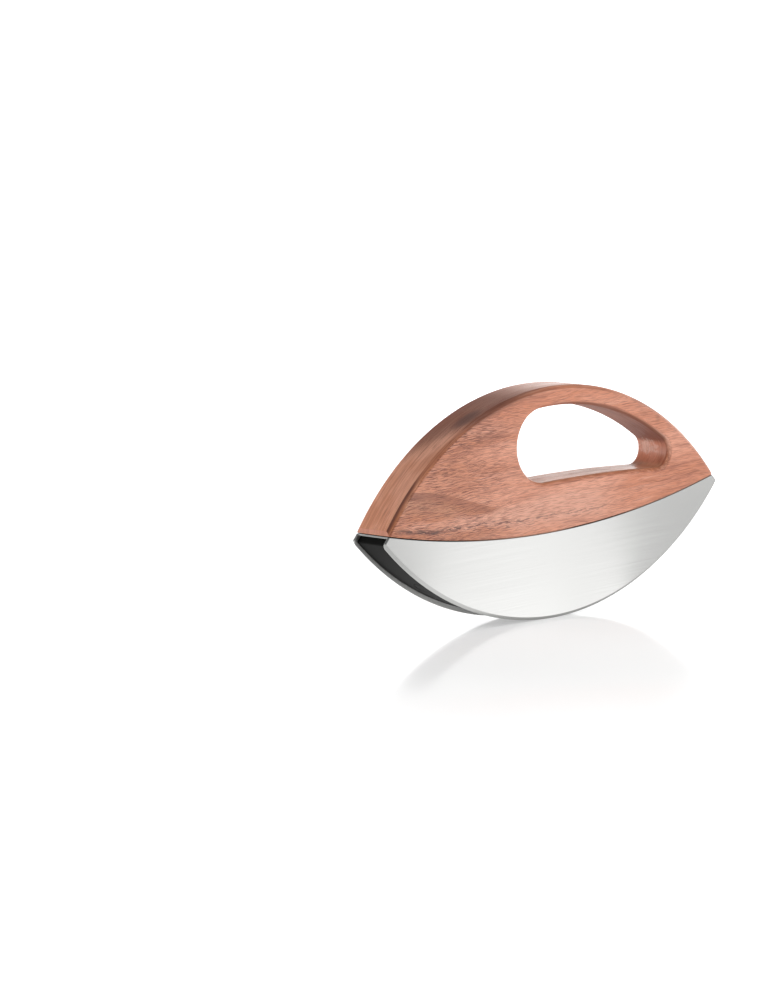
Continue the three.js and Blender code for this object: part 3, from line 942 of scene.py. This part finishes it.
    def pores(self):
        """Open pores: short dark strokes along the fibres on the sides, finer ones along the edges."""
        x, y = self.x, self.y
        cluster = 1 - self.ramp(self.oval(x, self.z, PORE_CROWD, PORE_CROWD_SIZE), 0.2, 1.6)
        crowd = self.noise(x * 0.04, y * 0.1, self.fibre * 0.14, 1.0) * 0.20 - 0.10 + cluster * 0.05
        short = self.noise(x * 0.18 + self.stagger, y * 2.1, self.fibre * 4.2, 1.0) + crowd
        long = self.noise(x * 0.10 + self.stagger, y * 2.1, self.fibre * 2.6, 1.0) + crowd
        towards_toe = self.ramp(x, -50.0, 0.0)
        short_strokes = self.ramp(short, 0.545, 0.600) * (1 - towards_toe)
        long_strokes = self.ramp(long, 0.580, 0.650) * towards_toe
        side = short_strokes + long_strokes
        edge = self.noise(self.along * 0.10, y * 2.8, self.depth * 0.4, 1.0) + crowd
        strokes = side * self.on_side + self.ramp(edge, 0.580, 0.645) * self.off_side
        fine = self.noise(x * 0.22 + self.stagger, y * 2.6, self.fibre * 4.6, 0.0)
        fine = self.ramp(fine + crowd * 0.5, 0.56, 0.66) * self.on_side
        fine = fine * self.ramp(x, -50.0, 10.0, 0.85, 0.55)
        strength = self.ramp(x, -60.0, -5.0, 0.90, 0.44) * (0.40 + self.on_side * 0.60)
        return strokes, fine, strength


def oiled_wood():
    wood = OiledWood()
    base = wood.ground()
    base = wood.rims(base)
    base = wood.arch(base)
    base = wood.vein(base)
    base = wood.flare(base)
    base = wood.grip_walls(base)
    pores, fine_pores, strength = wood.pores()
    base = wood.blend(fine_pores, base, RUSSET)
    base = wood.blend(pores * strength, base, PORE)
    dry = wood.floor * wood.ramp(wood.streaks, 0.42, 0.58, -0.06, 0.26)
    return wood.surface({
        "Base Color": base,
        "Roughness": 0.34 + wood.hair * 0.12 + pores * 0.15 + wood.ceiling * 0.25 + wood.dark_flare * 0.10,
        "IOR": 1.47,
        "Coat Weight": 0.31 - wood.ceiling * 0.26 - dry - wood.dark_flare * 0.18,
        "Coat Roughness": 0.14,
        "Normal": wood.bump(wood.hair * 0.4 - pores, 0.25, 0.08),
    })


def brushed_steel():
    """Stainless sheet brushed lengthwise, with grinding marks across the bevel of the edge."""
    steel = Finish("brushed_steel")
    x, y, z = steel.place()
    brush = steel.noise(x * 0.012, y * 6.0, z * 7.0, 3.0, 0.6)
    band = steel.noise(x * 0.006, 0.0, z * 0.35, 2.0)

    from_centre = z - EDGE_RADIUS
    reach = steel.math("SQRT", x ** 2 + from_centre ** 2)
    bevel_start = EDGE_RADIUS - BEVEL_WIDTH
    ground = steel.ramp(reach, bevel_start - 0.05, bevel_start + 0.05)
    turn = steel.math("ARCTAN2", x, from_centre)
    marks = steel.noise(turn * EDGE_RADIUS * 5.0, reach * 0.15, 3.0, 2.0)
    lines = brush * (1 - ground) + marks * ground

    # The blades' inner faces are duller, and the strip between the blades is darker
    inner = 1 - steel.ramp(y ** 2, (INNER_FACE + 0.02) ** 2, (INNER_FACE + 0.06) ** 2)
    strip = 1 - steel.ramp(y ** 2, (INNER_FACE - 0.5) ** 2, (INNER_FACE - 0.2) ** 2)
    # Painted shade: the ground bevel on the blades' outer faces is darkened, less so at the far left tip
    bevel = ground * (1 - inner) * steel.ramp(x, -95.0, -65.0, 0.45, 0.85)

    base = steel.blend(lines, colour(0.50, 0.50, 0.49), colour(0.66, 0.66, 0.65))
    base = steel.blend(bevel, base, colour(0.34, 0.34, 0.33))
    base = steel.blend(strip * 0.60, base, colour(0.28, 0.28, 0.27))
    return steel.surface({
        "Base Color": base,
        "Metallic": 1.0,
        "Roughness": 0.11 + lines * 0.08 + band * 0.04 + ground * 0.12 + inner * 0.30,
        "Normal": steel.bump(lines, 0.10, 0.03),
    })


def black_plastic():
    """Matt moulded plastic with a fine eroded texture."""
    plastic = Finish("black_plastic")
    x, y, z = plastic.place()
    grain = plastic.noise(x * 3.2, y * 3.2, z * 3.2, 2.0)
    cloud = plastic.noise(x * 0.05, y * 0.05, z * 0.05, 2.0)
    dark = colour(0.004, 0.004, 0.0038)
    light = colour(0.009, 0.009, 0.0083)
    return plastic.surface({
        "Base Color": plastic.blend(cloud * 0.6 + grain * 0.4, dark, light),
        "Roughness": 0.50 + grain * 0.2,
        "Specular IOR Level": 0.07,
        "Normal": plastic.bump(grain, 0.2, 0.05),
    })


def rubber_with_painted_light():
    """The black seal, with painted light that turns it brown around mid-length and towards the toe."""
    rubber = Finish("rubber_with_painted_light")
    x, y, z = rubber.place()
    cloud = rubber.noise(x * 0.08, y * 0.3, z * 0.3, 2.0)
    along = x + (cloud - 0.5) * 12
    dark_stretch = rubber.ramp(along, 2.0, 12.0) - rubber.ramp(along, 34.0, 54.0)
    # Painted light: the seal is turned brown where the seam should look lighter
    painted_seam_light = rubber.ramp(along, -64.0, -20.0) - dark_stretch * 0.8
    black = colour(0.008, 0.008, 0.008)
    brown = colour(0.50, 0.28, 0.20)
    return rubber.surface({
        "Base Color": rubber.blend(painted_seam_light, black, brown),
        "Roughness": 0.65 + cloud * 0.2,
        "Specular IOR Level": 0.16,
        "Normal": rubber.bump(cloud, 0.2, 0.05),
    })


def turned_metal(name, dark, light):
    """Screw and insert metal with turning marks around it and a clouded tone."""
    metal = Finish(name)
    x, y, z = metal.place()
    rings = metal.noise(z * 5.0, 2.0, 5.0, 2.0)
    cloud = metal.noise(x * 0.4, y * 0.4, z * 0.4, 2.0)
    return metal.surface({
        "Base Color": metal.blend(rings * 0.5 + cloud * 0.5, dark, light),
        "Metallic": 1.0,
        "Roughness": 0.28 + rings * 0.16,
        "Normal": metal.bump(rings, 0.15, 0.03),
    })


def pale_floor():
    """White board with a soft gloss, lit from below."""
    board = Finish("pale_floor")
    x, y, _ = board.place()
    cloud = board.noise(x * 0.004, y * 0.004, 0.0, 2.0)
    distance = board.math("SQRT", x ** 2 + y ** 2)
    near_glow = colour(0.42, 0.42, 0.42)
    far_glow = colour(0.74, 0.74, 0.74)
    white = board.node("ShaderNodeBsdfPrincipled", None, {
        "Base Color": board.blend(cloud, colour(0.80, 0.80, 0.80), colour(0.83, 0.83, 0.83)),
        "Roughness": 0.08 + cloud * 0.03 + board.ramp(distance, 150.0, 320.0, 0.0, 0.5),
        "IOR": 1.15,
        "Emission Color": board.blend(board.ramp(distance, 120.0, 480.0), near_glow, far_glow),
        "Emission Strength": 1.0,
    })
    return board.upper_side(white)


def graded_card(name, grade):
    """A reflector card whose brightness follows a grade over its length and its width."""
    card = Finish(name)
    x, y, _ = card.place()
    level = grade(card, x, y)
    tone = card.node("ShaderNodeCombineColor", None, {"Red": level, "Green": level, "Blue": level})
    return card.upper_side(card.node("ShaderNodeEmission", None, {"Color": tone, "Strength": 1.0}))


CARD_SLANT = 0.931


def front_grade(card, x, y):
    """Slanting bands on the card: bright for the middle of the blade and grey for its ends."""
    across = x + (y + HALF_BODY) * CARD_SLANT + card.ramp(y, -170.0, -20.0, 0.0, 13.0)
    level = card.ramp(across, -95.0, -58.0, 0.88, 1.45) + card.ramp(across, -60.0, -10.0, 0.0, 0.08)
    level = level - card.ramp(across, 2.0, 30.0, 0.0, 0.08) - card.ramp(across, 51.0, 67.0, 0.0, 0.54)
    level = level - card.ramp(across, 66.0, 92.0, 0.0, 0.05)
    return level * card.ramp(y, -150.0, -20.0, 1.0, 1.05)


def rear_grade(card, x, y):
    """Bright behind the middle of the part and greyer to both sides."""
    return card.ramp(x ** 2, 10.0 ** 2, 170.0 ** 2, 1.38, 0.86)


def dress(piece, nodes, material):
    """A finished piece: its material and its body, with the solids it stands for hidden."""
    piece.data.materials.clear()
    piece.data.materials.append(material)
    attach(piece, "root")
    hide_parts(*nodes)


steel = brushed_steel()
plastic = black_plastic()
rubber = rubber_with_painted_light()
dress(handle, ["handle"], oiled_wood())
dress(blade_front, ["blade_front"], steel)
dress(blade_rear, ["blade_rear"], steel)
dress(bridge, ["bridge_strip"], steel)
dress(core, ["blade_core"], plastic)
dress(seal, ["seam_seal"], rubber)
for number, plug in enumerate(plugs, 1):
    dress(plug, [f"screw_plug_{number}"], plastic)

screw_steel = turned_metal("screw_steel", colour(0.34, 0.35, 0.36), colour(0.58, 0.59, 0.60))
insert_brass = turned_metal("insert_brass", colour(0.50, 0.33, 0.10), colour(0.78, 0.57, 0.24))
for number in range(1, SCREW_COUNT + 1):
    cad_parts[f"screw_{number}"].material_slots[0].material = screw_steel
    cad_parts[f"threaded_insert_{number}"].material_slots[0].material = insert_brass


# Stage: the part leans a little towards its heavier end, so the floor is tilted under it

LEAN = math.radians(2.162)
FLOOR_SIZE = 16000
CONTACT = EDGE_CENTRE - Vector((math.sin(LEAN), math.cos(LEAN))) * EDGE_RADIUS


def add_sheet(name, size, x, height, y=0):
    """A square sheet that lies as the floor does."""
    clear_selection()
    bpy.ops.mesh.primitive_plane_add(size=size * MM, location=at(x, height, y), rotation=(0, LEAN, 0))
    return settle(name)


floor = add_sheet("floor", FLOOR_SIZE, CONTACT.x, CONTACT.y)
floor.data.materials.append(pale_floor())


# A card lies in front of the part and one behind it, and only shiny surfaces see them
CARD_SIZE = 700
CARD_GAP = 1
CARD_LIFT = 0.5


def add_card(name, x, side, grade):
    """A card flat on the floor, in front of the part (side -1) or behind it (side 1)."""
    floor_height = CONTACT.y - math.tan(LEAN) * (x - CONTACT.x)
    y = side * (CARD_SIZE / 2 + HALF_BODY + CARD_GAP)
    card = add_sheet(name, CARD_SIZE, x, floor_height + CARD_LIFT, y)
    card.data.materials.append(graded_card(name, grade))
    card.visible_camera = False
    card.visible_diffuse = False
    card.visible_shadow = False
    card.visible_transmission = False


add_card("front_card", 150, -1, front_grade)
add_card("rear_card", 0, 1, rear_grade)


def add_softbox(name, place, size, watts):
    """A square light that looks at the middle of the part and isn't mirrored in it."""
    light = bpy.data.lights.new(name, "AREA")
    light.size = size * MM
    light.energy = watts
    softbox = bpy.data.objects.new(name, light)
    bpy.context.scene.collection.objects.link(softbox)
    softbox.location = Vector(place) * MM
    aim = at(0, OVERALL_HEIGHT / 2) - softbox.location
    softbox.rotation_euler = aim.to_track_quat("-Z", "Y").to_euler()
    softbox.visible_camera = False
    softbox.visible_glossy = False


add_softbox("softbox_front", (750, -1100, 450), 900, 5.2)
add_softbox("softbox_top", (250, -500, 1200), 800, 2.6)
add_softbox("softbox_left", (-850, 750, 140), 500, 7.6)
add_softbox("softbox_back", (600, 950, 500), 700, 4.4)

# Studio walls: bright low down, dim high up and at the left front, with a glow low at the right rear
LEFT_FRONT = (-0.69, -0.69, 0.20)

world = bpy.data.worlds.new("studio")
bpy.context.scene.world = world
studio = NodeTree(world)
direction = studio.node("ShaderNodeTexCoord", output="Generated")
height = studio.node("ShaderNodeSeparateXYZ", None, {0: direction}, "Z")
leftward = studio.node(
    "ShaderNodeVectorMath", {"operation": "DOT_PRODUCT"}, {0: direction, 1: LEFT_FRONT}, "Value"
)
walls = studio.ramp(height, 0.14, 0.55, 1.08, 0.24) * studio.ramp(leftward, 0.45, 0.92, 1.0, 0.15)
rear_glow = studio.ramp(leftward, -0.6, -0.95) * studio.ramp(height, 0.14, 0.36, 0.60, 0.0)
white = colour(1.0, 1.0, 1.0)
light = studio.node("ShaderNodeBackground", None, {"Color": white, "Strength": walls + rear_glow})
studio.node("ShaderNodeOutputWorld", None, {"Surface": light})

# Camera from the left, a little above: its axes are given in the part's own frame
CAMERA_PLACE = Vector((-1379.25, -1384.61, 360.92))
CAMERA_RIGHT = Vector((0.726727, -0.685689, -0.041197))
CAMERA_UP = Vector((0.136765, 0.085657, 0.986893))
CAMERA_LENS = 166.776
SENSOR_WIDTH = 36

camera_data = bpy.data.cameras.new("camera")
camera_data.lens = CAMERA_LENS
camera_data.sensor_width = SENSOR_WIDTH
camera = bpy.data.objects.new("camera", camera_data)
bpy.context.scene.collection.objects.link(camera)
axes = Matrix((CAMERA_RIGHT, CAMERA_UP, CAMERA_RIGHT.cross(CAMERA_UP))).transposed()
camera.matrix_world = Matrix.Translation(CAMERA_PLACE * MM) @ axes.to_4x4()
bpy.context.scene.camera = camera
bpy.context.scene.view_settings.view_transform = "Standard"
